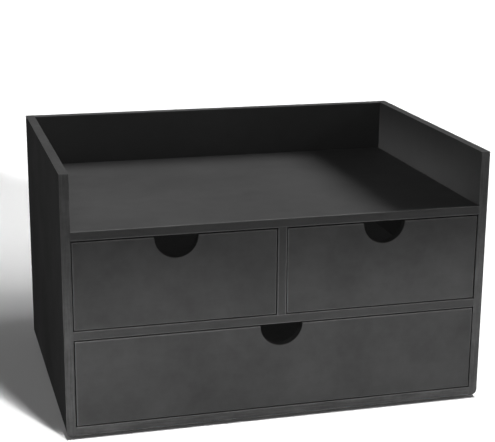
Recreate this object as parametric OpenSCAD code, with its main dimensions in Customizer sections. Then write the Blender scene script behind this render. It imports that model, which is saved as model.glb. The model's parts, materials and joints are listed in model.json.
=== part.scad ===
// Desktop mini drawers: a painted board cabinet with two small drawers over one wide drawer,
// and a raised rim round the back and sides of its top shelf. Units are millimetres.
// The origin is at the centre of the footprint, on the surface that the feet stand on.
// X runs across the front, +Y runs from the front to the back, and +Z is up.

/* [Cabinet] */
// Overall width, over the two side panels
cabinet_w = 380; // [300:5:480]
// Overall depth, from the front edges to the back face
cabinet_d = 260; // [200:5:340]
// Thickness of the side panels, the shelves and the divider
board_t = 8; // [6:0.5:12]
// Thickness of the back panel
back_t = 8; // [4:0.5:12]
// Clear height of the lower drawer's opening
lower_opening_h = 78.5; // [60:0.5:110]
// Clear height of the two upper drawers' openings
upper_opening_h = 79; // [60:1:110]
// Height of the rim above the top shelf
rim_h = 49; // [20:1:90]
// Rounding of the side panels' outer bottom corners
foot_corner_r = 5; // [1:0.5:5.5]
// Rounding of the boards' exposed edges
arris_r = 0.8; // [0.3:0.1:1.5]

/* [Drawers] */
// Thickness of a drawer front
front_t = 8; // [6:0.5:12]
// Thickness of a drawer's sides and back
wall_t = 6; // [5:0.5:8]
// Thickness of a drawer's bottom panel
panel_t = 3; // [2:0.5:4]
// Gap between a drawer and the boards beside it
side_gap = 0.8; // [0.4:0.1:2]
// Distance that the lower drawer stands to the right of its opening's centre
lower_offset = 0.3; // [0:0.1:0.3]
// Gap between a drawer front and the board above it
top_gap = 1.2; // [0.6:0.1:3]
// Gap between a drawer front and the board below it
bottom_gap = 0.8; // [0.4:0.1:2]
// Distance of a shut drawer's front behind the cabinet's front edges
front_recess = 0.5; // [0.1:0.1:2]
// Gap between a shut drawer and the back panel
stop_gap = 0.3; // [0.2:0.1:2]
// Gap under a drawer's running edges
run_gap = 0.2; // [0.1:0.1:0.5]
// Drop of a drawer's sides and back below the top of its front
wall_drop = 2; // [1:0.5:10]
// Radius of the finger notch, whose centre is on the front's top edge
notch_r = 19; // [12:0.5:24]

/* [Drawer bottoms] */
// Height of the groove above a drawer's running edges
groove_z = 5; // [3:0.5:10]
// Depth of the groove that holds a bottom panel
groove_d = 3; // [2:0.5:4]
// Clearance of a bottom panel in its groove, on each side
groove_gap = 0.1; // [0.05:0.05:0.3]

/* [Feet] */
// Thickness of a foot pad
foot_h = 3.5; // [1.5:0.5:6]
// Radius of a foot pad
foot_r = 6; // [4:0.5:10]
// Distance of a foot pad's centre from the cabinet's outer faces
foot_inset = 22; // [18:1:40]

/* [Panel pins] */
// Diameter of a steel panel pin
pin_d = 1.2; // [1:0.1:1.6]
// Length of a pin
pin_l = 24; // [18:1:30]
// Diameter of a pin's head
head_d = 2; // [1.8:0.1:2.6]
// Thickness of a pin's head
head_t = 0.6; // [0.4:0.1:1]
// Depth of the filler over a pin's head
filler_t = 1; // [0.5:0.1:2]
// Clearance round a pin and at its ends
pin_gap = 0.05; // [0.02:0.01:0.1]
// Distance of the outer pins from the ends of a cabinet joint
pin_inset = 26; // [15:1:40]
// Distance of a drawer's pins from the top of its walls and from its groove
drawer_pin_inset = 12; // [6:1:20]

/* [Hidden] */

$fn = 48;
// How far a cut runs past the face that it opens
past = 1;
paint = [0.17, 0.17, 0.175];
pad_grey = [0.1, 0.1, 0.1];
steel = [0.6, 0.6, 0.62];

inner_w = cabinet_w - 2 * board_t;
front_y = -cabinet_d / 2;
back_y = cabinet_d / 2 - back_t;

// Undersides of the three flat boards, and the top of the rim
bottom_z = foot_h;
middle_z = bottom_z + board_t + lower_opening_h;
top_z = middle_z + board_t + upper_opening_h;
rim_z = top_z + board_t + rim_h;
board_zs = [bottom_z, middle_z, top_z];

// The space of each drawer: the drawer's centre in X, and its opening's floor in Z,
// width and height
upper_w = (inner_w - board_t) / 2;
upper_x = (upper_w + board_t) / 2;
UPPER_LEFT = [-upper_x, middle_z + board_t, upper_w, upper_opening_h];
UPPER_RIGHT = [upper_x, middle_z + board_t, upper_w, upper_opening_h];
LOWER = [lower_offset, bottom_z + board_t, inner_w, lower_opening_h];

// A shut drawer in Y: its front face, the back of its front, the front of its back, its end
drawer_y0 = front_y + front_recess;
drawer_y1 = drawer_y0 + front_t;
drawer_y3 = back_y - stop_gap;
drawer_y2 = drawer_y3 - wall_t;

function drawer_w(opening) = opening[2] - 2 * side_gap;
function front_base(opening) = opening[1] + bottom_gap;
function front_top(opening) = opening[1] + opening[3] - top_gap;
function wall_base(opening) = opening[1] + run_gap;
function wall_top(opening) = front_top(opening) - wall_drop;

// ---- Boards ----

// The waste outside a round corner of radius r, whose two edges run along +X and +Y
module corner_waste(r) {
    difference() {
        translate([-past, -past]) square(r + past);
        translate([r, r]) circle(r);
    }
}

// A rectangle w by h with its corners rounded to radii, in the order left bottom,
// right bottom, right top, left top. A radius of 0 leaves the corner square.
module eased_rectangle(w, h, radii) {
    places = [[0, 0], [w, 0], [w, h], [0, h]];
    difference() {
        square([w, h]);
        for (i = [0 : 3])
            if (radii[i] > 0)
                translate(places[i]) rotate(90 * i) corner_waste(radii[i]);
    }
}

// A block from its lowest corner, with its profiles seen along X and along Z both eased
module block_eased_two_ways(corner, size, x_radii, z_radii) {
    translate(corner)
        intersection() {
            rotate([90, 0, 90])
                linear_extrude(size[0]) eased_rectangle(size[1], size[2], x_radii);
            linear_extrude(size[2]) eased_rectangle(size[0], size[1], z_radii);
        }
}

// A block from its lowest corner, with its profile seen along X eased
module block_eased_along(corner, size, radii) {
    translate(corner)
        rotate([90, 0, 90])
            linear_extrude(size[0]) eased_rectangle(size[1], size[2], radii);
}

// ---- Panel pins ----
// A pin is listed as the centre of its head's face and the direction that it is driven in.

// n values from a to b, evenly spaced
function spread(a, b, n) = [for (i = [0 : n - 1]) a + (b - a) * i / (n - 1)];

// The pins through one side panel, -1 for the left or 1 for the right,
// into the ends of the flat boards and of the back panel
function side_pins(side) = let (x = side * (cabinet_w / 2 - filler_t), way = [-side, 0, 0]) concat(
    [for (z = board_zs, y = spread(front_y + pin_inset, back_y - pin_inset, 3))
        [[x, y, z + board_t / 2], way]],
    [for (z = spread(bottom_z + pin_inset, rim_z - pin_inset, 4))
        [[x, back_y + back_t / 2, z], way]]
);

// The pins through the back panel into the flat boards, clear of those through the sides
far_x = inner_w / 2 - pin_l - pin_inset;
back_pins = [for (z = board_zs, x = spread(-far_x, far_x, 4))
    [[x, cabinet_d / 2 - filler_t, z + board_t / 2], [0, -1, 0]]];

// The pins through the boards round the centre divider into its top, bottom and back edges
divider_ys = [front_y + pin_inset, back_y - pin_l - pin_inset];
divider_pins = concat(
    [for (y = divider_ys) [[0, y, top_z + board_t - filler_t], [0, 0, -1]]],
    [for (y = divider_ys) [[0, y, middle_z + filler_t], [0, 0, 1]]],
    [for (share = [0.25, 0.75])
        [[0, cabinet_d / 2 - filler_t, middle_z + board_t + share * upper_opening_h], [0, -1, 0]]]
);

cabinet_pin_list = concat(side_pins(-1), side_pins(1), back_pins, divider_pins);

// The pins of one drawer: through its front into its sides, and through its sides into its back
function drawer_pin_list(opening) =
    let (
        low = wall_base(opening) + groove_z + panel_t + drawer_pin_inset,
        high = wall_top(opening) - drawer_pin_inset,
        half = drawer_w(opening) / 2
    ) concat(
        [for (side = [-1, 1], z = [low, high])
            [[opening[0] + side * (half - wall_t / 2), drawer_y0 + filler_t, z], [0, 1, 0]]],
        [for (side = [-1, 1], z = [low, high])
            [[opening[0] + side * (half - filler_t), drawer_y3 - wall_t / 2, z], [-side, 0, 0]]]
    );

// A pin from its head at the origin along +Z, grown all over by a clearance
module pin_shape(grow) {
    translate([0, 0, -grow]) cylinder(h = pin_l + 2 * grow, d = pin_d + 2 * grow);
    translate([0, 0, -grow]) cylinder(h = head_t + 2 * grow, d = head_d + 2 * grow);
}

// Everything in a list of pins, each grown by a clearance
module pins_in(list, grow = 0) {
    for (pin = list)
        translate(pin[0])
            rotate([pin[1][2] < 0 ? 180 : -90 * pin[1][1], 90 * pin[1][0], 0])
                pin_shape(grow);
}

// ---- Cabinet ----

// side is -1 for the left panel and 1 for the right
module side_panel(side) {
    e = arris_r;
    outer = side < 0 ? [foot_corner_r, 0, e, e] : [0, foot_corner_r, e, e];
    plan = side < 0 ? [e, e, 0, e] : [e, e, e, 0];
    color(paint)
        difference() {
            translate([side * (cabinet_w - board_t) / 2 - board_t / 2, front_y, bottom_z])
                intersection() {
                    translate([0, cabinet_d, 0])
                        rotate([90, 0, 0])
                            linear_extrude(cabinet_d)
                                eased_rectangle(board_t, rim_z - bottom_z, outer);
                    linear_extrude(rim_z - bottom_z)
                        eased_rectangle(board_t, cabinet_d, plan);
                }
            pins_in(side_pins(side), pin_gap);
        }
}

module left_side_panel() {
    side_panel(-1);
}

module right_side_panel() {
    side_panel(1);
}

module back_panel() {
    color(paint)
        difference() {
            block_eased_along([-inner_w / 2, back_y, bottom_z],
                [inner_w, back_t, rim_z - bottom_z], [0, 0, arris_r, arris_r]);
            pins_in(cabinet_pin_list, pin_gap);
        }
}

// A flat board between the side panels, with its underside at z
module flat_board(z) {
    color(paint)
        difference() {
            block_eased_along([-inner_w / 2, front_y, z],
                [inner_w, cabinet_d - back_t, board_t], [arris_r, 0, 0, arris_r]);
            pins_in(cabinet_pin_list, pin_gap);
        }
}

module bottom_board() {
    flat_board(bottom_z);
}

module middle_shelf() {
    flat_board(middle_z);
}

module top_shelf() {
    flat_board(top_z);
}

module centre_divider() {
    color(paint)
        difference() {
            translate([-board_t / 2, front_y, middle_z + board_t])
                linear_extrude(upper_opening_h)
                    eased_rectangle(board_t, cabinet_d - back_t, [arris_r, arris_r, 0, 0]);
            pins_in(divider_pins, pin_gap);
        }
}

module cabinet_pins() {
    color(steel) pins_in(cabinet_pin_list);
}

module foot_pads() {
    x = cabinet_w / 2 - foot_inset;
    y = cabinet_d / 2 - foot_inset;
    color(pad_grey)
        for (sx = [-1, 1], sy = [-1, 1])
            translate([sx * x, sy * y, 0]) cylinder(h = foot_h, r = foot_r);
}

// ---- Drawers ----

// The groove that runs round inside a drawer, as one block. With grow at minus the
// clearance it is the bottom panel's own outline.
module groove_block(opening, grow = 0) {
    half = drawer_w(opening) / 2 - wall_t + groove_d + grow;
    y0 = drawer_y1 - groove_d - grow;
    y1 = drawer_y2 + groove_d + grow;
    z = wall_base(opening) + groove_z - grow;
    translate([opening[0] - half, y0, z])
        cube([2 * half, y1 - y0, panel_t + 2 * groove_gap + 2 * grow]);
}

module drawer_front(opening) {
    w = drawer_w(opening);
    h = front_top(opening) - front_base(opening);
    e = arris_r;
    color(paint)
        difference() {
            block_eased_two_ways([opening[0] - w / 2, drawer_y0, front_base(opening)],
                [w, front_t, h], [e, 0, 0, e], [e, e, 0, 0]);
            translate([opening[0], drawer_y0 - past, front_top(opening)])
                rotate([-90, 0, 0]) cylinder(h = front_t + 2 * past, r = notch_r);
            groove_block(opening);
            pins_in(drawer_pin_list(opening), pin_gap);
        }
}

// side is -1 for the left side and 1 for the right
module drawer_side(opening, side) {
    x = opening[0] + side * (drawer_w(opening) - wall_t) / 2 - wall_t / 2;
    h = wall_top(opening) - wall_base(opening);
    color(paint)
        difference() {
            translate([x, drawer_y1, wall_base(opening)])
                cube([wall_t, drawer_y3 - drawer_y1, h]);
            groove_block(opening);
            pins_in(drawer_pin_list(opening), pin_gap);
        }
}

module drawer_back(opening) {
    w = drawer_w(opening) - 2 * wall_t;
    h = wall_top(opening) - wall_base(opening);
    color(paint)
        difference() {
            translate([opening[0] - w / 2, drawer_y2, wall_base(opening)])
                cube([w, wall_t, h]);
            groove_block(opening);
            pins_in(drawer_pin_list(opening), pin_gap);
        }
}

module drawer_bottom(opening) {
    color(paint) groove_block(opening, -groove_gap);
}

module drawer_pins(opening) {
    color(steel) pins_in(drawer_pin_list(opening));
}

// ---- Nodes ----

left_side_panel();
right_side_panel();
back_panel();
bottom_board();
middle_shelf();
top_shelf();
centre_divider();
cabinet_pins();
foot_pads();
drawer_front(UPPER_LEFT);  // upper_left_drawer_front
drawer_side(UPPER_LEFT, -1);  // upper_left_drawer_left_side
drawer_side(UPPER_LEFT, 1);  // upper_left_drawer_right_side
drawer_back(UPPER_LEFT);  // upper_left_drawer_back
drawer_bottom(UPPER_LEFT);  // upper_left_drawer_bottom
drawer_pins(UPPER_LEFT);  // upper_left_drawer_pins
drawer_front(UPPER_RIGHT);  // upper_right_drawer_front
drawer_side(UPPER_RIGHT, -1);  // upper_right_drawer_left_side
drawer_side(UPPER_RIGHT, 1);  // upper_right_drawer_right_side
drawer_back(UPPER_RIGHT);  // upper_right_drawer_back
drawer_bottom(UPPER_RIGHT);  // upper_right_drawer_bottom
drawer_pins(UPPER_RIGHT);  // upper_right_drawer_pins
drawer_front(LOWER);  // lower_drawer_front
drawer_side(LOWER, -1);  // lower_drawer_left_side
drawer_side(LOWER, 1);  // lower_drawer_right_side
drawer_back(LOWER);  // lower_drawer_back
drawer_bottom(LOWER);  // lower_drawer_bottom
drawer_pins(LOWER);  // lower_drawer_pins
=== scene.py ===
"""Looks of the desktop mini drawers: painted boards, foam foot pads and steel panel pins.

Everything is in metres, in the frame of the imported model: X runs across the front, +Y runs
from the front to the back, and +Z is up from the surface that the feet stand on.
"""

import json
import logging
import math
from dataclasses import dataclass, field, replace
from enum import Enum

import bpy
from mathutils import Matrix, Vector

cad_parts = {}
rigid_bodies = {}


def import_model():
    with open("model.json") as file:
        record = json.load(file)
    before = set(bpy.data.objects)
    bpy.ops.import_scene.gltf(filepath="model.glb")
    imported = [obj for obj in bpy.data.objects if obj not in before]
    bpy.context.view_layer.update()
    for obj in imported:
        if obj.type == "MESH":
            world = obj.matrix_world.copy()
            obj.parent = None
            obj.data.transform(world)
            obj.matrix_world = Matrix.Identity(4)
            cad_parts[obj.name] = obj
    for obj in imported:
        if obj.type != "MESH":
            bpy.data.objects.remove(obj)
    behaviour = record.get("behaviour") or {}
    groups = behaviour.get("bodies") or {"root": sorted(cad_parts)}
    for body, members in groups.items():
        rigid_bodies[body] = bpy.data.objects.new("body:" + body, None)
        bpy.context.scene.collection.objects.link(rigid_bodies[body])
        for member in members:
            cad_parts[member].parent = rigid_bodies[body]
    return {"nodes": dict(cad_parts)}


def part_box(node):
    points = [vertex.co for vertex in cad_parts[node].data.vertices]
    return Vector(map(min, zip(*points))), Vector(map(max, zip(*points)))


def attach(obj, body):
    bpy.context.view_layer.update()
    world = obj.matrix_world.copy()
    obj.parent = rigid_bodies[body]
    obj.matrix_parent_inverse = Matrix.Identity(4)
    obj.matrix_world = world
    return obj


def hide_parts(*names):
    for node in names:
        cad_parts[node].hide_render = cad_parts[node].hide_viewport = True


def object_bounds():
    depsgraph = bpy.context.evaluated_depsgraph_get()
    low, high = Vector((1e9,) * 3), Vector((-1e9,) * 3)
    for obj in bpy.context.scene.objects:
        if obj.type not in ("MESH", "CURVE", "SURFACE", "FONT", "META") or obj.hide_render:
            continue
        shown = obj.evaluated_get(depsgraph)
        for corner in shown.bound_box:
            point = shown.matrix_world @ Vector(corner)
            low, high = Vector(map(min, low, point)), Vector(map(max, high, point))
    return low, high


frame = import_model()
CAD_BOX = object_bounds()

MM = 0.001

# Two places nearer than this are the same place, and corners nearer than this are one corner
TOUCH = 0.02 * MM
DOUBLES = 0.001 * MM
# How far a cutter runs past the face that it opens
PAST = 1 * MM
# How finely round work is cut: sides of a whole round, and steps across a rounded edge
NOTCH_SIDES = 96
PAD_SIDES = 48
ARRIS_SEGMENTS = 4
CORNER_SEGMENTS = 10
# Where the surface turns by more than this, an edge is drawn sharp
SHARP = math.radians(35)
# Clearance of a drawer's bottom panel in its groove
GROOVE_GAP = 0.1 * MM
# A face narrower than this is the edge of a board
EDGE_WIDTH = 10 * MM
# Shares of the full rounding: where two boards meet, along the shelves' seams, round a finger
# notch, along the top of a drawer's front, and on the boards of a drawer's box
SEAM = 0.3
SHELF_SEAM = 0.6
NOTCH_EASE = 0.35
FRONT_TOP_EASE = 0.5
BOX_EASE = 0.6
# The place of the lighter arris paint among a board's materials when its edges are rounded: partly
# wear, partly painted highlight
WORN_AND_HIGHLIT_ARRIS_PLACE = 1

log = logging.getLogger("mini_drawers")


# ---- Boxes and their faces ----


@dataclass(frozen=True)
class Box:
    """A box along the axes.

    Attributes:
        low: Its lowest corner.
        high: Its highest corner.
    """

    low: Vector
    high: Vector

    @classmethod
    def of_node(cls, node: str) -> "Box":
        """The box of a CAD node at rest."""
        return cls(*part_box(node))

    @property
    def size(self) -> Vector:
        """The box's extent along each axis."""
        return self.high - self.low

    @property
    def centre(self) -> Vector:
        """The middle of the box."""
        return (self.low + self.high) / 2

    def grown(self, by: float) -> "Box":
        """The box with every face moved outwards by a distance."""
        step = Vector((by, by, by))
        return Box(self.low - step, self.high + step)


class Run(Enum):
    """The axis that a board's edge, and so the brush strokes on it, run along."""

    ACROSS = 0
    DEEP = 1
    UPRIGHT = 2


class Face(Enum):
    """A face of a box, as the axis that it faces along and which end of it."""

    LEFT = (0, 0)
    RIGHT = (0, 1)
    FRONT = (1, 0)
    BACK = (1, 1)
    UNDERSIDE = (2, 0)
    TOP = (2, 1)

    def near(self, point: Vector, box: Box, within: float) -> bool:
        """Tells whether a point lies close to this face's plane.

        Args:
            point: The point.
            box: The box that has the face.
            within: How close counts as close.

        Returns:
            Whether it does.
        """
        axis, end = self.value
        plane = (box.low, box.high)[end][axis]
        return abs(point[axis] - plane) < within

    def holds(self, point: Vector, box: Box) -> bool:
        """Whether a point lies in this face of a box."""
        return self.near(point, box, TOUCH)

    def run(self, box: Box) -> tuple[float, Run]:
        """Measures this face of a box.

        Args:
            box: The box that has the face.

        Returns:
            How wide the face is, and the axis that it is longer along.
        """
        axis, _ = self.value
        across, along = sorted((i for i in range(3) if i != axis), key=lambda i: box.size[i])
        return box.size[across], list(Run)[along]


# ---- Finishes ----

Span = tuple[float, float]
Triple = tuple[float, float, float]

BLACK = (0, 0, 0, 1)
WHITE = (1, 1, 1, 1)
# The middle of a noise's values, the span that most of them lie in, and the span of a share
NOISE_MIDDLE = 0.5
NOISE_SPAN = (0.3, 0.7)
WHOLE = (0.0, 1.0)
# The finer mottle of a coat: its size beside the clouds', and its share of the tone
MOTTLE_SIZE = 0.2
MOTTLE_SHARE = 0.7
# The brush's strokes: how wide one is, and how its length shows as a stretch of the noise
STROKE_WIDTH = 1.1 * MM
STROKE_STRETCH = 0.04
# How far the tone swings to either side before the coat is at its darkest or lightest
TONE_REACH = 0.35
# The grit under a coat: its size, the size of the finer grit, and the finer one's share
GRIT = 1.3 * MM
FINE_GRIT = 0.35 * MM
FINE_GRIT_SHARE = 0.35
# The coat on a board's edge: how dark it gets and how large its clouds are, both beside the coat
# on the broad faces, and how strong its strokes are
EDGE_DARK = 0.9
EDGE_CLOUDS = 0.25
EDGE_STROKES = 1.5


class EdgeTone(Enum):
    """How much lighter or darker a board's edge is painted than its broad faces, set by board and
    by facing: partly the edges' own look, partly painted light and shade.
    """

    THICK = 0.87
    FULL = 1.05
    THIN = 1.4


class Recipe:
    """The node tree of one material while it is put together."""

    def __init__(self, name: str) -> None:
        """Starts a material with its shader and the coordinates of its object.

        Args:
            name: The material's name.
        """
        self.material = bpy.data.materials.new(name)
        self.material.use_nodes = True
        self.tree = self.material.node_tree
        self.shader = self.tree.nodes["Principled BSDF"]
        self.place = self.add("ShaderNodeTexCoord").outputs["Object"]

    def add(self, kind: str, **settings: object) -> bpy.types.Node:
        """Adds a node.

        Args:
            kind: The node's type.
            settings: Its own properties by name.

        Returns:
            The new node.
        """
        node = self.tree.nodes.new(kind)
        for name, value in settings.items():
            setattr(node, name, value)
        return node

    def feed(self, node: bpy.types.Node, socket: str, value: object) -> None:
        """Links an output to an input, or sets the input to a plain value.

        Args:
            node: The node that takes it.
            socket: The input's name.
            value: Another node's output, or a plain value.
        """
        if isinstance(value, bpy.types.NodeSocket):
            self.tree.links.new(value, node.inputs[socket])
        else:
            node.inputs[socket].default_value = value

    def noise(self, feature: float, detail: float,
              stretch: Triple = (1, 1, 1)) -> bpy.types.NodeSocket:
        """Adds soft noise.

        Args:
            feature: The size of its features in metres.
            detail: How many finer layers it holds.
            stretch: How much denser it is along each axis.

        Returns:
            The noise's value, around 0.5.
        """
        mapping = self.add("ShaderNodeMapping")
        self.feed(mapping, "Vector", self.place)
        self.feed(mapping, "Scale", stretch)
        noise = self.add("ShaderNodeTexNoise")
        self.feed(noise, "Vector", mapping.outputs["Vector"])
        self.feed(noise, "Scale", 1 / feature)
        self.feed(noise, "Detail", detail)
        return noise.outputs["Fac"]

    def remap(self, value: bpy.types.NodeSocket, source: Span,
              target: Span) -> bpy.types.NodeSocket:
        """Maps one span of a value onto another, and holds it there.

        Args:
            value: The value.
            source: The span that it comes from.
            target: The span that it goes to.

        Returns:
            The mapped value.
        """
        node = self.add("ShaderNodeMapRange")
        self.feed(node, "Value", value)
        for socket, limit in zip(("From Min", "From Max", "To Min", "To Max"), source + target):
            self.feed(node, socket, limit)
        return node.outputs["Result"]

    def sum(self, one: bpy.types.NodeSocket, other: bpy.types.NodeSocket,
            share: float) -> bpy.types.NodeSocket:
        """Adds a share of one value to another.

        Args:
            one: The value that counts in full.
            other: The value that is added.
            share: How much of the other is added.

        Returns:
            The sum.
        """
        node = self.add("ShaderNodeMath", operation="MULTIPLY_ADD")
        self.tree.links.new(other, node.inputs[0])
        node.inputs[1].default_value = share
        self.tree.links.new(one, node.inputs[2])
        return node.outputs[0]

    def blend(self, share: bpy.types.NodeSocket, first: Triple,
              second: Triple) -> bpy.types.NodeSocket:
        """Blends from one colour to another.

        Args:
            share: How much of the second colour there is.
            first: The first colour.
            second: The second colour.

        Returns:
            The blended colour.
        """
        node = self.add("ShaderNodeValToRGB")
        self.feed(node, "Fac", share)
        node.color_ramp.elements[0].color = (*first, 1)
        node.color_ramp.elements[1].color = (*second, 1)
        return node.outputs["Color"]

    def bump(self, height: bpy.types.NodeSocket, depth: float) -> None:
        """Gives the shader a relief.

        Args:
            height: The relief's height, as a share of its depth.
            depth: How deep it is, in metres.
        """
        node = self.add("ShaderNodeBump")
        self.feed(node, "Height", height)
        self.feed(node, "Distance", depth)
        self.feed(self.shader, "Normal", node.outputs["Normal"])


@dataclass(frozen=True)
class Finish:
    """What a surface is finished with.

    Attributes:
        name: The material's name.
    """

    name: str

    def material(self) -> bpy.types.Material:
        """Gives the finish's material, which is made on first use.

        Returns:
            The material.
        """
        if self.name in bpy.data.materials:
            return bpy.data.materials[self.name]
        recipe = Recipe(self.name)
        self.mix(recipe)
        return recipe.material

    def mix(self, recipe: Recipe) -> None:
        """Puts the finish's nodes together in a recipe."""
        raise NotImplementedError


@dataclass(frozen=True)
class Paint(Finish):
    """A coat of black paint on fibreboard, and how unevenly it lies.

    Attributes:
        dark: How much light it throws back where the coat is full.
        light: How much it throws back where the coat is thin or rubbed.
        rough: The least and the greatest roughness.
        cloud: The size of the coat's clouds.
        peel: The relief that the roller left.
        specular: How glossy the coat is.
        strokes: How strongly brush strokes show in it.
        run: The axis that the strokes run along.
    """

    dark: float
    light: float
    rough: Span
    cloud: float
    peel: float
    specular: float = 0.3
    strokes: float = 0.15
    run: Run = Run.ACROSS

    def brushed(self, coat: EdgeTone, run: Run) -> "Paint":
        """Gives the same paint as it lies on a board's edge, brushed along the edge.

        Args:
            coat: How much lighter or darker the edge is painted, partly painted light and shade.
            run: The axis that the edge runs along.

        Returns:
            The paint of the edge.
        """
        return replace(self, name=f"{self.name}_{coat.name.lower()}_{run.name.lower()}",
                       dark=self.dark * EDGE_DARK, light=self.light * coat.value,
                       cloud=self.cloud * EDGE_CLOUDS, strokes=EDGE_STROKES, run=run)

    def mix(self, recipe: Recipe) -> None:
        """Puts the coat together from clouds, mottle, brush strokes and grit.

        Args:
            recipe: The material's recipe.
        """
        clouds = recipe.noise(self.cloud, detail=4)
        mottle = recipe.noise(self.cloud * MOTTLE_SIZE, detail=3)
        stretch = [1.0, 1.0, 1.0]
        stretch[self.run.value] = STROKE_STRETCH
        strokes = recipe.noise(STROKE_WIDTH, detail=2, stretch=tuple(stretch))
        tone = recipe.sum(recipe.sum(clouds, mottle, MOTTLE_SHARE), strokes, self.strokes)
        middle = NOISE_MIDDLE * (1 + MOTTLE_SHARE + self.strokes)
        share = recipe.remap(tone, (middle - TONE_REACH, middle + TONE_REACH), WHOLE)
        colour = recipe.blend(share, (self.dark,) * 3, (self.light,) * 3)
        recipe.feed(recipe.shader, "Base Color", colour)
        recipe.feed(recipe.shader, "Roughness", recipe.remap(clouds, NOISE_SPAN, self.rough))
        recipe.feed(recipe.shader, "Specular IOR Level", self.specular)
        grit, fine_grit = recipe.noise(GRIT, detail=2), recipe.noise(FINE_GRIT, detail=1)
        recipe.bump(recipe.sum(grit, fine_grit, FINE_GRIT_SHARE), self.peel)


@dataclass(frozen=True)
class Foam(Finish):
    """Matt foam rubber with fine open pores.

    Attributes:
        pore: The size of a pore.
        depth: How deep the pores are.
        pore_span: The noise's values between a pore's floor and the skin round it.
        dark: The pores' colour.
        light: The skin's colour.
        rough: The roughness in the pores and on the skin.
        specular: How glossy it is.
    """

    name: str = "foot_pad_foam"
    pore: float = 0.5 * MM
    depth: float = 0.12 * MM
    pore_span: Span = (0.35, 0.65)
    dark: float = 0.008
    light: float = 0.03
    rough: Span = (0.98, 0.8)
    specular: float = 0.25

    def mix(self, recipe: Recipe) -> None:
        """Puts the foam together from its pores.

        Args:
            recipe: The material's recipe.
        """
        pores = recipe.noise(self.pore, detail=3)
        share = recipe.remap(pores, self.pore_span, WHOLE)
        colour = recipe.blend(share, (self.dark,) * 3, (self.light,) * 3)
        recipe.feed(recipe.shader, "Base Color", colour)
        recipe.feed(recipe.shader, "Roughness", recipe.remap(pores, NOISE_SPAN, self.rough))
        recipe.feed(recipe.shader, "Specular IOR Level", self.specular)
        recipe.bump(pores, self.depth)


@dataclass(frozen=True)
class SteelWire(Finish):
    """Steel wire with the fine uneven marks that drawing it leaves.

    Attributes:
        mark: The size of a mark.
        depth: How deep the marks are.
        dark: The colour where it is dull.
        light: The colour where it is bright.
        rough: The roughness where it is dull and where it is bright.
    """

    name: str = "steel_wire"
    mark: float = 0.4 * MM
    depth: float = 0.01 * MM
    dark: Triple = (0.42, 0.42, 0.43)
    light: Triple = (0.6, 0.6, 0.62)
    rough: Span = (0.25, 0.45)

    def mix(self, recipe: Recipe) -> None:
        """Puts the steel together from its marks.

        Args:
            recipe: The material's recipe.
        """
        marks = recipe.noise(self.mark, detail=3)
        colour = recipe.blend(recipe.remap(marks, NOISE_SPAN, WHOLE), self.dark, self.light)
        recipe.feed(recipe.shader, "Base Color", colour)
        recipe.feed(recipe.shader, "Metallic", 1.0)
        recipe.feed(recipe.shader, "Roughness", recipe.remap(marks, NOISE_SPAN, self.rough))
        recipe.bump(marks, self.depth)


@dataclass(frozen=True)
class Paper(Finish):
    """The matt paper of the studio's flat parts.

    Attributes:
        colour: How pale it is.
        cloud: The size of its faint clouds.
        shade: How pale the clouds are beside the rest.
        rough: Its roughness.
        specular: How glossy it is.
    """

    colour: float
    cloud: float = 0.4
    shade: float = 0.99
    rough: float = 0.9
    specular: float = 0.1

    def mix(self, recipe: Recipe) -> None:
        """Puts the paper together from its clouds.

        Args:
            recipe: The material's recipe.
        """
        share = recipe.remap(recipe.noise(self.cloud, detail=2), NOISE_SPAN, WHOLE)
        colour = recipe.blend(share, (self.colour * self.shade,) * 3, (self.colour,) * 3)
        recipe.feed(recipe.shader, "Base Color", colour)
        recipe.feed(recipe.shader, "Roughness", self.rough)
        recipe.feed(recipe.shader, "Specular IOR Level", self.specular)


@dataclass(frozen=True)
class GlowingPaper(Finish):
    """Paper that glows an even white."""

    def mix(self, recipe: Recipe) -> None:
        """Puts the glowing paper together.

        Args:
            recipe: The material's recipe.
        """
        recipe.feed(recipe.shader, "Base Color", BLACK)
        recipe.feed(recipe.shader, "Specular IOR Level", 0.0)
        recipe.feed(recipe.shader, "Emission Color", WHITE)
        recipe.feed(recipe.shader, "Emission Strength", 1.0)


CABINET_PAINT = Paint("satin_black_cabinet", 0.045, 0.055, (0.42, 0.54), 70 * MM, 0.035 * MM)
FRONT_PAINT = Paint("satin_black_front", 0.038, 0.056, (0.42, 0.54), 45 * MM, 0.04 * MM)
BOX_PAINT = Paint("matt_black_box", 0.024, 0.040, (0.62, 0.75), 30 * MM, 0.07 * MM)
# The rounded edges' paint is much lighter than the boards': partly wear, partly painted highlight
# along the arrises
WORN_AND_HIGHLIT_ARRIS_PAINT = Paint("worn_black_arris", 0.075, 0.13, (0.40, 0.50), 20 * MM, 0.02 * MM)


# ---- The bench ----


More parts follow.
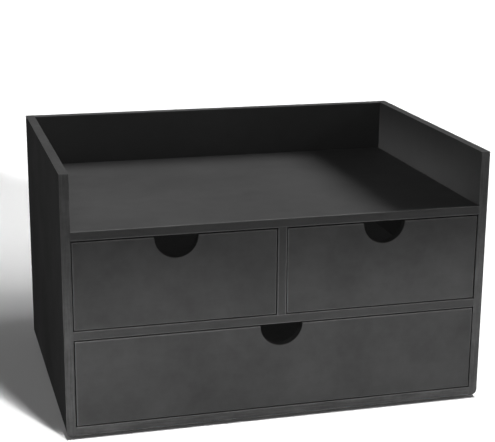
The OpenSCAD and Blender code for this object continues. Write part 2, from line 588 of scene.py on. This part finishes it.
class Bench:
    """The operations that pieces are worked with, on one selected object at a time."""

    @staticmethod
    def take(piece: bpy.types.Object) -> None:
        """Selects one piece and nothing else.

        Args:
            piece: The piece, which becomes the active object.
        """
        bpy.ops.object.select_all(action="DESELECT")
        piece.select_set(True)
        bpy.context.view_layer.objects.active = piece

    @staticmethod
    def settle(name: str) -> bpy.types.Object:
        """Names the new active object and moves its place into its mesh.

        Args:
            name: The name that it gets.

        Returns:
            The object, at the origin, unturned and unscaled.
        """
        piece = bpy.context.active_object
        Bench.take(piece)
        bpy.ops.object.transform_apply(location=True, rotation=True, scale=True)
        piece.name = piece.data.name = name
        return piece

    @staticmethod
    def block(name: str, box: Box) -> bpy.types.Object:
        """Makes a block.

        Args:
            name: The object's name.
            box: The box that it fills.

        Returns:
            The block, with its place in its mesh.
        """
        bpy.ops.object.select_all(action="DESELECT")
        bpy.ops.mesh.primitive_cube_add(size=1, location=box.centre, scale=box.size)
        return Bench.settle(name)

    @staticmethod
    def rod(name: str, centre: Vector, radius: float, length: float, run: Run,
            sides: int) -> bpy.types.Object:
        """Makes a round rod.

        Args:
            name: The object's name.
            centre: Its middle.
            radius: Its radius.
            length: Its length.
            run: The axis that it lies along.
            sides: How many flat sides stand for the round one.

        Returns:
            The rod, with its place in its mesh.
        """
        quarter = math.pi / 2
        turns = {Run.ACROSS: (0, quarter, 0), Run.DEEP: (quarter, 0, 0), Run.UPRIGHT: (0, 0, 0)}
        bpy.ops.object.select_all(action="DESELECT")
        bpy.ops.mesh.primitive_cylinder_add(vertices=sides, radius=radius, depth=length,
                                            location=centre, rotation=turns[run])
        return Bench.settle(name)

    @staticmethod
    def cut(piece: bpy.types.Object, cutter: bpy.types.Object) -> None:
        """Takes a cutter's shape out of a piece.

        Args:
            piece: The piece that is cut.
            cutter: The cutter, which is thrown away.
        """
        Bench.take(piece)
        boolean = piece.modifiers.new("cut", "BOOLEAN")
        boolean.object = cutter
        boolean.operation = "DIFFERENCE"
        boolean.solver = "EXACT"
        bpy.ops.object.modifier_apply(modifier=boolean.name)
        bpy.data.objects.remove(cutter)

    @staticmethod
    def select_edges(piece: bpy.types.Object, faces: tuple[Face, ...], box: Box) -> None:
        """Opens a piece in edit mode with some of its edges selected.

        Args:
            piece: The piece.
            faces: The faces of its box that an edge has to lie in, all of them.
            box: The piece's box.
        """
        mesh = piece.data
        Bench.take(piece)
        bpy.context.tool_settings.mesh_select_mode = (False, True, False)
        for part in (mesh.vertices, mesh.edges, mesh.polygons):
            part.foreach_set("select", [False] * len(part))
        for edge in mesh.edges:
            ends = [mesh.vertices[i].co for i in edge.vertices]
            edge.select = all(face.holds(end, box) for face in faces for end in ends)
        bpy.ops.object.mode_set(mode="EDIT")

    @staticmethod
    def round_edges(piece: bpy.types.Object, faces: tuple[Face, ...], box: Box, radius: float,
                    segments: int) -> None:
        """Rounds the edges of a piece that lie in all the given faces.

        Args:
            piece: The piece.
            faces: The faces of its box.
            box: The piece's box.
            radius: How far the rounding reaches from an edge.
            segments: How many steps it has.
        """
        Bench.select_edges(piece, faces, box)
        bpy.ops.mesh.bevel(offset=radius, segments=segments, affect="EDGES")
        bpy.ops.object.mode_set(mode="OBJECT")

    @staticmethod
    def copy(name: str, piece: bpy.types.Object, way: Vector) -> bpy.types.Object:
        """Copies a finished piece to another place, with a mesh of its own.

        Args:
            name: The copy's name.
            piece: The piece that is copied.
            way: How far the copy is moved from it.

        Returns:
            The copy, with its place in its mesh.
        """
        Bench.take(piece)
        bpy.ops.object.duplicate(linked=False)
        bpy.ops.transform.translate(value=way)
        return Bench.settle(name)

    @staticmethod
    def close_up(piece: bpy.types.Object) -> None:
        """Merges doubles, turns every face outwards and shades the piece.

        Args:
            piece: The piece, when its shape is done.
        """
        Bench.take(piece)
        bpy.ops.object.mode_set(mode="EDIT")
        bpy.ops.mesh.select_all(action="SELECT")
        bpy.ops.mesh.remove_doubles(threshold=DOUBLES)
        bpy.ops.mesh.normals_make_consistent(inside=False)
        bpy.ops.object.mode_set(mode="OBJECT")
        bpy.ops.object.shade_smooth_by_angle(angle=SHARP)
        weighted = piece.modifiers.new("weighted", "WEIGHTED_NORMAL")
        weighted.keep_sharp = True
        bpy.ops.object.modifier_apply(modifier=weighted.name)


# ---- Boards ----


@dataclass(frozen=True)
class Arris:
    """A rule for rounding edges.

    Attributes:
        faces: The faces of the board that an edge has to lie in, all of them.
        share: The share of the full radius that it is rounded by.
    """

    faces: tuple[Face, ...]
    share: float = 1.0


@dataclass
class Board:
    """One board, cut from its node's box, worked, eased and painted.

    Attributes:
        node: The CAD node that it stands for.
        body: The body that it rides on.
        paint: The coat on its broad faces.
        slot: The record's material slot. Not used.
        arrises: Which edges are rounded. A later rule holds over an earlier one.
        corners: Pairs of faces whose edge has a large round corner.
        corner_radius: The radius of those corners.
        notch_radius: The radius of the finger notch in its top edge. At 0 it has none.
        groove: The panel that lies in a groove in it, as that panel's node.
        seams: Its faces that lie against other boards. Rounded edges beside them keep the board's
            own paint, not the lighter arris paint of wear and painted highlight.
        edges: How much lighter or darker its narrow faces that don't face up are painted, partly
            painted light and shade.
        arris: The full rounding of its exposed edges.
        piece: The board's object.
        box: The box of its node.
        pivot: The place that its notch is turned about.
    """

    node: str
    body: str
    paint: Paint
    slot: str
    arrises: tuple[Arris, ...]
    corners: tuple[tuple[Face, Face], ...] = ()
    corner_radius: float = 0.0
    notch_radius: float = 0.0
    groove: str = ""
    seams: tuple[Face, ...] = ()
    edges: EdgeTone = EdgeTone.THIN
    arris: float = 0.8 * MM
    piece: bpy.types.Object = field(init=False)
    box: Box = field(init=False)
    pivot: Vector = field(init=False)

    def __post_init__(self) -> None:
        """Takes the board's box from its node, and from it the place of its notch."""
        self.box = Box.of_node(self.node)
        self.pivot = Vector((self.box.centre.x, self.box.centre.y, self.box.high.z))

    def build(self) -> None:
        """Cuts the board, with its notch and groove, and eases its edges."""
        self.piece = Bench.block(f"painted_{self.node}", self.box)
        for faces in self.corners:
            Bench.round_edges(self.piece, faces, self.box, self.corner_radius, CORNER_SEGMENTS)
        if self.notch_radius:
            self.cut_notch()
        if self.groove:
            panel = Box.of_node(self.groove).grown(GROOVE_GAP)
            Bench.cut(self.piece, Bench.block("groove_cutter", panel))
        self.ease()

    def cut_notch(self) -> None:
        """Cuts the half round finger notch out of the top edge."""
        length = self.box.size.y + 2 * PAST
        cutter = Bench.rod("notch_cutter", self.pivot, self.notch_radius, length, Run.DEEP,
                           NOTCH_SIDES)
        Bench.cut(self.piece, cutter)

    def in_notch(self, points: list[Vector]) -> bool:
        """Tells whether points lie on the notch's cut face or on its eased rim.

        Args:
            points: The points.

        Returns:
            Whether all of them do. On a board without a notch, none does.
        """
        if not self.notch_radius:
            return False
        rim = self.notch_radius + self.arris
        reaches = (point - self.pivot for point in points)
        return all(math.hypot(reach.x, reach.z) < rim for reach in reaches)

    def ease(self) -> None:
        """Rounds the exposed edges, whose new faces take the lighter arris paint of wear and
        painted highlight.
        """
        mesh = self.piece.data
        weights = mesh.attributes.new("bevel_weight_edge", "FLOAT", "EDGE")
        for edge in mesh.edges:
            ends = [mesh.vertices[i].co for i in edge.vertices]
            for rule in self.arrises:
                if all(face.holds(end, self.box) for face in rule.faces for end in ends):
                    share = NOTCH_EASE if self.in_notch(ends) else rule.share
                    weights.data[edge.index].value = share
        mesh.materials.append(self.paint.material())
        mesh.materials.append(WORN_AND_HIGHLIT_ARRIS_PAINT.material())
        Bench.take(self.piece)
        bevel = self.piece.modifiers.new("arris", "BEVEL")
        bevel.width = self.arris
        bevel.segments = ARRIS_SEGMENTS
        bevel.limit_method = "WEIGHT"
        bevel.offset_type = "OFFSET"
        bevel.material = WORN_AND_HIGHLIT_ARRIS_PLACE
        bpy.ops.object.modifier_apply(modifier=bevel.name)
        Bench.close_up(self.piece)

    def coat_of(self, polygon: bpy.types.MeshPolygon) -> Paint:
        """Chooses the coat that one face of the piece has.

        Args:
            polygon: A face of the piece, whose material tells a rounded edge from the rest.

        Returns:
            The lighter arris paint of a rounded edge, partly wear and partly painted highlight, the
            inner coat of the notch, the brushed paint of a narrow face, lighter or darker by board
            and facing, or the board's own.
        """
        corners = [self.piece.data.vertices[i].co for i in polygon.vertices]
        if self.in_notch(corners):
            return BOX_PAINT
        # Rounded edges away from the seams take the lighter arris paint: partly wear, partly
        # painted highlight
        if polygon.material_index == WORN_AND_HIGHLIT_ARRIS_PLACE:
            seams = (face.near(polygon.center, self.box, self.arris) for face in self.seams)
            return self.paint if any(seams) else WORN_AND_HIGHLIT_ARRIS_PAINT
        for face in Face:
            width, run = face.run(self.box)
            if width < EDGE_WIDTH and all(face.holds(corner, self.box) for corner in corners):
                # Top edges take one tone and the other narrow faces the board's own, lighter or
                # darker by facing: partly painted light and shade
                return self.paint.brushed(EdgeTone.FULL if face is Face.TOP else self.edges, run)
        return self.paint

    def dress(self) -> None:
        """Coats every face of the board, and sets it in the frame."""
        mesh = self.piece.data
        for polygon in mesh.polygons:
            material = self.coat_of(polygon).material()
            if material.name not in mesh.materials:
                mesh.materials.append(material)
            polygon.material_index = mesh.materials.find(material.name)
        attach(self.piece, self.body)
        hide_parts(self.node)
        log.info("%s: %d faces on %s", self.piece.name, len(mesh.polygons), self.body)


# ---- The cabinet ----

CABINET = "cabinet"
SIDE_ARRISES = (Arris((Face.FRONT,)), Arris((Face.TOP,)))
FLAT_SEAMS = (Face.LEFT, Face.RIGHT, Face.BACK)
FLAT_ARRISES = (*(Arris((Face.TOP, seam), SHELF_SEAM) for seam in FLAT_SEAMS),
                Arris((Face.FRONT, Face.TOP)), Arris((Face.FRONT, Face.UNDERSIDE)))
DIVIDER_ARRISES = (Arris((Face.FRONT, Face.LEFT)), Arris((Face.FRONT, Face.RIGHT)))
BACK_ARRISES = (Arris((Face.TOP, Face.FRONT)), Arris((Face.TOP, Face.BACK)))


@dataclass
class CabinetCase:
    """The fixed boards of the cabinet: two sides, the back, three flat boards and the divider.

    Attributes:
        paint: The coat on them.
        foot_corner: The radius of the side panels' outer bottom corners.
        boards: The boards, once they are built.
    """

    paint: Paint = CABINET_PAINT
    foot_corner: float = 5 * MM
    boards: list[Board] = field(default_factory=list)

    def board(self, node: str, arrises: tuple[Arris, ...], **work: object) -> None:
        """Adds one board with its rules for easing."""
        self.boards.append(Board(node, CABINET, self.paint, "cabinet_paint", arrises, **work))

    def build(self) -> None:
        """Lists the boards and cuts each one."""
        for node, outer, inner in (("left_side_panel", Face.LEFT, Face.RIGHT),
                                   ("right_side_panel", Face.RIGHT, Face.LEFT)):
            arrises = SIDE_ARRISES + (Arris((outer, Face.BACK)), Arris((inner, Face.FRONT), SEAM))
            self.board(node, arrises, corners=((outer, Face.UNDERSIDE),),
                       corner_radius=self.foot_corner)
        self.board("back_panel", BACK_ARRISES)
        self.board("bottom_board", FLAT_ARRISES, seams=FLAT_SEAMS)
        # The shelves' and the divider's edges are painted darker than the other boards' edges:
        # partly their own look, partly painted shade
        for node in ("middle_shelf", "top_shelf"):
            self.board(node, FLAT_ARRISES, seams=FLAT_SEAMS, edges=EdgeTone.THICK)
        self.board("centre_divider", DIVIDER_ARRISES, edges=EdgeTone.THICK)
        for board in self.boards:
            board.build()

    def dress(self) -> None:
        """Paints the boards."""
        for board in self.boards:
            board.dress()


# ---- The drawers ----

DRAWERS = ("upper_left_drawer", "upper_right_drawer", "lower_drawer")
# The walls of a drawer's box, each with its two broad faces
WALLS = {"left_side": (Face.LEFT, Face.RIGHT), "right_side": (Face.LEFT, Face.RIGHT),
         "back": (Face.FRONT, Face.BACK)}
FRONT_ARRISES = (Arris((Face.FRONT,)), Arris((Face.TOP,), FRONT_TOP_EASE),
                 Arris((Face.FRONT, Face.TOP)))
BOTTOM_ARRISES = (Arris((Face.UNDERSIDE,), SEAM), Arris((Face.TOP,), SEAM))


@dataclass
class Drawer:
    """One drawer: a notched front, two sides and a back, with a bottom panel in their grooves.

    Attributes:
        name: The drawer's body, and the start of its nodes' names.
        notch_radius: The radius of the finger notch in its front.
        boards: Its boards, once they are built.
    """

    name: str
    notch_radius: float = 19 * MM
    boards: list[Board] = field(default_factory=list)

    def box_board(self, part: str, arrises: tuple[Arris, ...], **work: object) -> None:
        """Adds one board of the drawer's box with its rules for easing."""
        self.boards.append(Board(f"{self.name}_{part}", self.name, BOX_PAINT, "drawer_box_paint",
                                 arrises, **work))

    def build(self) -> None:
        """Lists the drawer's boards and cuts each one."""
        bottom = f"{self.name}_bottom"
        self.boards.append(Board(f"{self.name}_front", self.name, FRONT_PAINT, "drawer_front_paint",
                                 FRONT_ARRISES, notch_radius=self.notch_radius,
                                 groove=bottom))
        for part, faces in WALLS.items():
            arrises = tuple(Arris((Face.TOP, face), BOX_EASE) for face in faces)
            self.box_board(part, arrises, groove=bottom)
        self.box_board("bottom", BOTTOM_ARRISES)
        for board in self.boards:
            board.build()

    def dress(self) -> None:
        """Paints the drawer's boards."""
        for board in self.boards:
            board.dress()


# ---- Foot pads and pins ----


@dataclass
class FootPads:
    """Four foam pads under the corners, with soft rims.

    Attributes:
        node: The CAD node that all four stand for.
        radius: A pad's radius.
        rim: How far its soft rims reach.
        pieces: The pads, once they are built.
    """

    node: str = "foot_pads"
    radius: float = 6 * MM
    rim: float = 0.7 * MM
    pieces: list[bpy.types.Object] = field(default_factory=list)

    def build(self) -> None:
        """Turns one pad with soft rims, and copies it to the other three corners."""
        box = Box.of_node(self.node)
        inset = Vector((self.radius, self.radius, box.size.z / 2))
        low, high = box.low + inset, box.high - inset
        pad = Bench.rod("foot_pad_0", low, self.radius, box.size.z, Run.UPRIGHT, PAD_SIDES)
        for face in (Face.TOP, Face.UNDERSIDE):
            Bench.round_edges(pad, (face,), box, self.rim, ARRIS_SEGMENTS)
        Bench.close_up(pad)
        self.pieces.append(pad)
        across, deep = Vector((high.x - low.x, 0, 0)), Vector((0, high.y - low.y, 0))
        for index, way in enumerate((deep, across, across + deep), 1):
            self.pieces.append(Bench.copy(f"foot_pad_{index}", pad, way))

    def dress(self) -> None:
        """Gives the pads their foam and sets them in the frame."""
        for pad in self.pieces:
            pad.data.materials.append(Foam().material())
            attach(pad, CABINET)
            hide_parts(self.node)
            log.info("%s: %d faces", pad.name, len(pad.data.polygons))


@dataclass
class PanelPins:
    """The steel pins inside the boards, which stay as the frame has them.

    Attributes:
        nodes: Their CAD nodes.
    """

    nodes: tuple[str, ...] = ("cabinet_pins", "upper_left_drawer_pins", "upper_right_drawer_pins",
                              "lower_drawer_pins")

    def dress(self) -> None:
        """Gives the pins their steel."""
        for node in self.nodes:
            mesh = frame["nodes"][node].data
            mesh.materials.clear()
            mesh.materials.append(SteelWire().material())
            log.info("%s: steel", node)


# ---- The studio ----


@dataclass(frozen=True)
class PhotoCamera:
    """The camera where the photograph was taken from.

    Attributes:
        azimuth: How far it looks to the right of +Y, in degrees.
        dip: How far it looks down, in degrees.
        roll: Its turn about its own line of sight, in degrees.
        place: Where it stands.
        focal: Its focal length in pixels of the photograph.
        frame_width: The photograph's width in pixels.
        sensor: The sensor's width in millimetres.
        clip: The nearest and the farthest that it sees.
    """

    azimuth: float = 15.26
    dip: float = 15.49
    roll: float = 0.447
    place: Vector = Vector((-0.3094, -1.1486, 0.4775))
    focal: float = 1291.5
    frame_width: float = 495
    sensor: float = 36
    clip: Span = (0.05, 100)

    def build(self) -> None:
        """Adds the camera and makes it the scene's own."""
        azimuth, dip, roll = (math.radians(angle) for angle in (self.azimuth, self.dip, self.roll))
        sight = Vector((math.sin(azimuth) * math.cos(dip), math.cos(azimuth) * math.cos(dip),
                        -math.sin(dip)))
        level = Vector((math.cos(azimuth), -math.sin(azimuth), 0))
        upright = level.cross(sight)
        right = math.cos(roll) * level + math.sin(roll) * upright
        up = math.cos(roll) * upright - math.sin(roll) * level
        data = bpy.data.cameras.new("photo_camera")
        data.sensor_width = self.sensor
        data.lens = self.focal * self.sensor / self.frame_width
        data.clip_start, data.clip_end = self.clip
        camera = bpy.data.objects.new("photo_camera", data)
        turn = Matrix((right, up, -sight)).transposed().to_4x4()
        camera.matrix_world = Matrix.Translation(self.place) @ turn
        bpy.context.scene.collection.objects.link(camera)
        bpy.context.scene.camera = camera


@dataclass(frozen=True)
class Reach:
    """What a light falls on: the listed objects alone, or everything but them.

    Attributes:
        name: The list's name.
        objects: The names of the objects in it.
        alone: Whether the light falls on them alone.
    """

    name: str
    objects: tuple[str, ...]
    alone: bool

    def listed(self) -> bpy.types.Collection:
        """Gives the collection of the listed objects, which is made on first use.

        Returns:
            The collection.
        """
        if self.name in bpy.data.collections:
            return bpy.data.collections[self.name]
        listed = bpy.data.collections.new(self.name)
        for name in self.objects:
            listed.objects.link(bpy.data.objects[name])
        for entry in listed.collection_objects:
            entry.light_linking.link_state = "INCLUDE" if self.alone else "EXCLUDE"
        return listed

    def limit(self, light: bpy.types.Object) -> None:
        """Keeps a light to this reach."""
        light.light_linking.receiver_collection = self.listed()

    def shade(self, light: bpy.types.Object) -> None:
        """Lets only this reach's objects throw shadows in a light."""
        light.light_linking.blocker_collection = self.listed()


@dataclass(frozen=True)
class SoftCard:
    """A flat card that gives an even light from one face and isn't seen itself.

    Attributes:
        name: The light's name.
        centre: The card's middle.
        size: Its extent along its own two edges.
        faces: The direction that it shines in.
        power: Its power in watts.
        spread: How wide its light fans out, in degrees.
        reach: What it falls on.
        shaders: What throws shadows in its light, where that isn't everything.
        glossy: Whether it shows in glossy surfaces.
    """

    name: str
    centre: Vector
    size: tuple[float, float]
    faces: Vector
    power: float
    spread: float
    reach: Reach
    shaders: Reach | None = None
    glossy: bool = True

    def build(self) -> None:
        """Hangs the card."""
        data = bpy.data.lights.new(self.name, "AREA")
        data.shape = "RECTANGLE"
        data.size, data.size_y = self.size
        data.energy = self.power
        data.spread = math.radians(self.spread)
        card = bpy.data.objects.new(self.name, data)
        card.location = self.centre
        card.rotation_mode = "QUATERNION"
        card.rotation_quaternion = self.faces.to_track_quat("-Z", "Y")
        card.visible_camera = False
        card.visible_glossy = self.glossy
        bpy.context.scene.collection.objects.link(card)
        self.reach.limit(card)
        if self.shaders:
            self.shaders.shade(card)


@dataclass(frozen=True)
class LightBank:
    """A row of soft far lights that together make one long light.

    Attributes:
        name: The lights' name.
        first: Where the first stands: its azimuth from +X towards +Y and its height, in degrees.
        last: Where the last stands, in the same way.
        count: How many there are.
        power: Their strength together.
        softness: The angle that each one fills, in degrees.
        reach: What they fall on.
        shades: Whether they throw shadows.
        glossy: Whether they show in glossy surfaces.
    """

    name: str
    first: tuple[float, float]
    last: tuple[float, float]
    count: int
    power: float
    softness: float
    reach: Reach
    shades: bool = True
    glossy: bool = True

    def build(self) -> None:
        """Hangs the row."""
        for index in range(self.count):
            share = index / max(self.count - 1, 1)
            azimuth, height = (math.radians(start + (end - start) * share)
                               for start, end in zip(self.first, self.last))
            data = bpy.data.lights.new(f"{self.name}_{index}", "SUN")
            data.energy = self.power / self.count
            data.angle = math.radians(self.softness)
            data.use_shadow = self.shades
            light = bpy.data.objects.new(data.name, data)
            light.rotation_mode = "XYZ"
            light.rotation_euler = (0, math.pi / 2 - height, azimuth)
            light.visible_glossy = self.glossy
            bpy.context.scene.collection.objects.link(light)
            self.reach.limit(light)


class Role(Enum):
    """What a flat part of the studio does, as its height over the floor."""

    SEEN = 0.0
    BOUNCE = -0.5 * MM
    FLAG = 0.3 * MM


@dataclass(frozen=True)
class FloorPart:
    """A flat part of the studio at the floor.

    Attributes:
        name: The plane's name.
        low: Its lowest corner in X and Y.
        high: Its highest corner in X and Y.
        role: Whether it is seen, throws light back onto the object, or keeps light off the floor.
        colour: How pale it is.
    """

    name: str
    low: tuple[float, float]
    high: tuple[float, float]
    role: Role
    colour: float

    def build(self) -> None:
        """Lays the part."""
        low = Vector((*self.low, self.role.value))
        high = Vector((*self.high, self.role.value))
        bpy.ops.object.select_all(action="DESELECT")
        bpy.ops.mesh.primitive_plane_add(size=1, location=(low + high) / 2)
        bpy.context.active_object.scale = (high.x - low.x, high.y - low.y, 1)
        part = Bench.settle(self.name)
        part.data.materials.append(Paper(f"{self.name}_paper", self.colour).material())
        part.visible_camera = self.role is Role.SEEN
        part.visible_diffuse = self.role is Role.BOUNCE
        part.visible_glossy = False
        part.visible_shadow = self.role is Role.FLAG


# How far the floor runs each way, and the two corners of the ground under the object
FLOOR_REACH = 9.0
GROUND_LOW, GROUND_HIGH = (tuple(corner[:2]) for corner in CAD_BOX)
# The bounce planes leave out the ground on the object's left, which lies in its shadow
FLOOR_PARTS = (
    FloorPart("studio_floor", (-FLOOR_REACH, -FLOOR_REACH), (FLOOR_REACH, FLOOR_REACH), Role.SEEN,
              colour=0.92),
    FloorPart("front_bounce", (-FLOOR_REACH, -FLOOR_REACH), (FLOOR_REACH, GROUND_LOW[1]),
              Role.BOUNCE, colour=0.75),
    FloorPart("back_bounce", GROUND_LOW, (FLOOR_REACH, FLOOR_REACH), Role.BOUNCE, colour=0.75),
    FloorPart("under_flag", GROUND_LOW, GROUND_HIGH, Role.FLAG, colour=0.05),
)

ON_MODEL = Reach("all_but_floor", ("studio_floor",), False)
ON_FLOOR = Reach("floor_alone", ("studio_floor",), True)
ON_RIGHT_PANEL = Reach("right_panel_alone", ("painted_right_side_panel",), True)
BY_TOP_SHELF = Reach("top_shelf_alone", ("painted_top_shelf",), True)
ON_BOXES = Reach("drawer_boxes_alone", tuple(f"painted_{drawer}_{board}" for drawer in DRAWERS
                                             for board in (*WALLS, "bottom")), True)
# The long light from the right and its sheen, a fill from the front, four that light the floor
# alone, and one for the insides of the drawers. Each row gives the name, the first and the last
# place, the count, the strength, the softness and the reach
BANKS = (
    LightBank("key", (0, 27), (22, 27), 4, 8.3, 13, ON_MODEL, glossy=False),
    LightBank("key_sheen", (0, 27), (22, 27), 2, 0.8, 20, ON_MODEL),
    LightBank("fill", (-110, 50), (-110, 50), 1, 0.38, 30, ON_MODEL),
    LightBank("floor_key", (-66, 8), (-66, 14), 2, 8.4, 5, ON_FLOOR),
    LightBank("floor_high", (-69, 30), (-69, 56), 6, 2.4, 7, ON_FLOOR),
    LightBank("floor_side", (-20, 28), (-20, 56), 6, 1.33, 9, ON_FLOOR),
    LightBank("floor_base", (150, 60), (150, 60), 1, 0.3, 20, ON_FLOOR, shades=False),
    LightBank("inside_fill", (-130, 45), (-130, 45), 1, 0.75, 20, ON_BOXES, shades=False),
)
# The way from the cards before the object to its drawer fronts
TO_FRONTS = Vector((0, 1.17, -0.30))
# Two cards for the drawer fronts, and one for the inner face of the right panel. Each row gives
# the name, the middle, the size, the direction, the power, the spread and the reach
CARDS = (
    SoftCard("front_strip", Vector((0, -1.3, 0.338)), (0.60, 0.20), TO_FRONTS, 0.203, 5.5,
             ON_MODEL),
    SoftCard("corner_card", Vector((-0.19, -1.3, 0.325)), (0.10, 0.10), TO_FRONTS, 0.014, 8,
             ON_MODEL, glossy=False),
    SoftCard("tray_card", Vector((0.14, 0.04, 0.188)), (0.32, 0.003), Vector((1, 0, 0)), 0.055, 180,
             ON_RIGHT_PANEL, BY_TOP_SHELF, glossy=False),
)


@dataclass(frozen=True)
class Backdrop:
    """A white backdrop that stands round the middle of the floor and throws no light.

    Attributes:
        name: The object's name.
        radius: How far away it stands.
        height: How high it is.
        sides: How many flat sides stand for the round one.
    """

    name: str = "white_backdrop"
    radius: float = 8.5
    height: float = 12.0
    sides: int = 64

    def build(self) -> None:
        """Stands the backdrop up, open at the top and at the bottom."""
        bpy.ops.object.select_all(action="DESELECT")
        bpy.ops.mesh.primitive_cylinder_add(vertices=self.sides, radius=self.radius,
                                            depth=self.height, end_fill_type="NOTHING")
        backdrop = Bench.settle(self.name)
        backdrop.data.materials.append(GlowingPaper(f"{self.name}_paper").material())
        backdrop.visible_diffuse = backdrop.visible_glossy = backdrop.visible_shadow = False


@dataclass(frozen=True)
class Studio:
    """The pale floor, the backdrop and the lights.

    Attributes:
        glow: The strength of the weak light from all round.
    """

    glow: float = 0.06

    def build(self) -> None:
        """Lays the floor, and hangs the backdrop and the lights."""
        for part in (*FLOOR_PARTS, Backdrop(), *BANKS, *CARDS):
            part.build()
        self.add_glow()
        bpy.context.scene.view_settings.view_transform = "Standard"

    def add_glow(self) -> None:
        """Adds the weak light from all round."""
        world = bpy.data.worlds.new("studio_glow")
        world.use_nodes = True
        background = world.node_tree.nodes["Background"]
        background.inputs["Color"].default_value = WHITE
        background.inputs["Strength"].default_value = self.glow
        bpy.context.scene.world = world


def main() -> None:
    """Builds and dresses every piece, then the studio round them."""
    logging.basicConfig(level=logging.INFO, format="%(name)s: %(message)s")
    PhotoCamera().build()
    case = CabinetCase()
    drawers = [Drawer(name) for name in DRAWERS]
    pads = FootPads()
    for assembly in (case, *drawers, pads):
        assembly.build()
        assembly.dress()
    PanelPins().dress()
    Studio().build()


if __name__ == "__main__":
    main()
